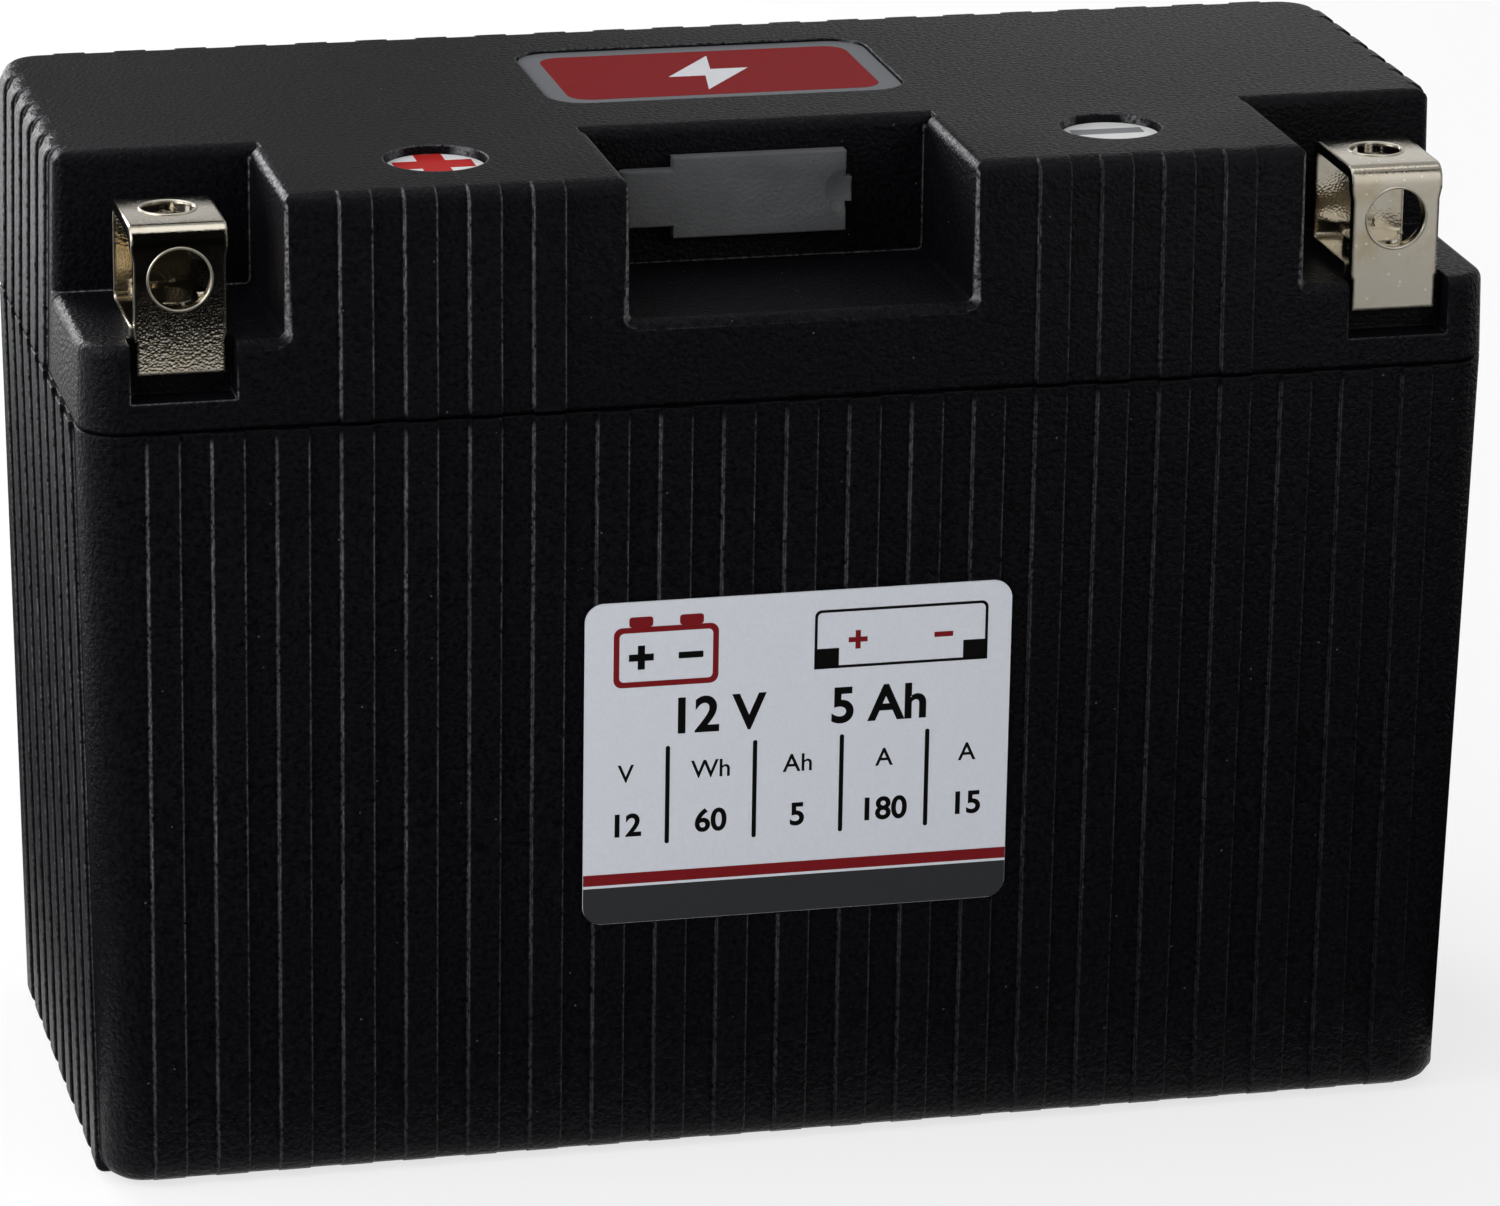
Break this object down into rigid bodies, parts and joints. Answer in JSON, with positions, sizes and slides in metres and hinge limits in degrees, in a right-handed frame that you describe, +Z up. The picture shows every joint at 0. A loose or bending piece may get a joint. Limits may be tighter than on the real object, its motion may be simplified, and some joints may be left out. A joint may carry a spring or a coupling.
{
  "type": "motorcycle battery",
  "caption": "Ribbed black motorcycle starter battery with a welded lid, bolt-through box terminals in the front corners, a hinged cover over its balance port and a stack of pouch cells inside.",
  "frame": {"origin": "middle of the base, on the surface the battery stands on", "axes": "+X along the width to the negative terminal, -Y to the front with the terminals and label, +Z up"},
  "size_m": [0.148, 0.066, 0.105],
  "materials": {
    "moulded_plastic": "fine-grained black moulded plastic",
    "plated_brass": "nickel-plated brass, satin",
    "black_rubber": "moulded rubber",
    "grey_elastomer": "soft light grey moulded plastic",
    "socket_nylon": "natural nylon",
    "gilt_pins": "bright",
    "ribbon_pvc": "flexible grey sheath",
    "mark_film": "white film with a printed plus or minus",
    "badge_film": "domed red and grey film",
    "label_film": "printed silver-white film",
    "pouch_foil": "laminated foil pouch",
    "insulating_paper": "matt insulating sheet",
    "tab_aluminium": "plain",
    "busbar_copper": "plain copper",
    "board_laminate": "green solder-masked laminate",
    "screw_steel": "zinc plated",
    "foam_rubber": "closed-cell foam"
  },
  "bodies": {
    "battery": {"case": "moulded_plastic", "lid": "moulded_plastic", "terminal_positive": "plated_brass", "terminal_negative": "plated_brass", "terminal_rivets": "plated_brass", "terminal_seals": "black_rubber", "port_cover_anchor": "grey_elastomer", "port_socket": "socket_nylon", "port_pins": "gilt_pins", "port_ribbon": "ribbon_pvc", "polarity_mark_positive": "mark_film", "polarity_mark_negative": "mark_film", "top_badge": "badge_film", "front_label": "label_film", "cell_1": "pouch_foil", "cell_2": "pouch_foil", "cell_3": "pouch_foil", "cell_4": "pouch_foil", "separator_1": "insulating_paper", "separator_2": "insulating_paper", "separator_3": "insulating_paper", "positive_tabs": "tab_aluminium", "negative_tabs": "busbar_copper", "tab_board": "board_laminate", "series_links": "busbar_copper", "positive_busbar": "busbar_copper", "negative_busbar": "busbar_copper", "board_screws": "screw_steel", "foam_base": "foam_rubber", "foam_left": "foam_rubber", "foam_right": "foam_rubber"},
    "cover": {"port_cover": "grey_elastomer"}
  },
  "joints": [
    {"name": "cover_hinge", "type": "hinge", "parent": "battery", "child": "cover", "pos_m": [-0.01395, -0.0121, 0.09765], "axis": [0, 0, -1], "range_deg": [0, 90]}
  ]
}
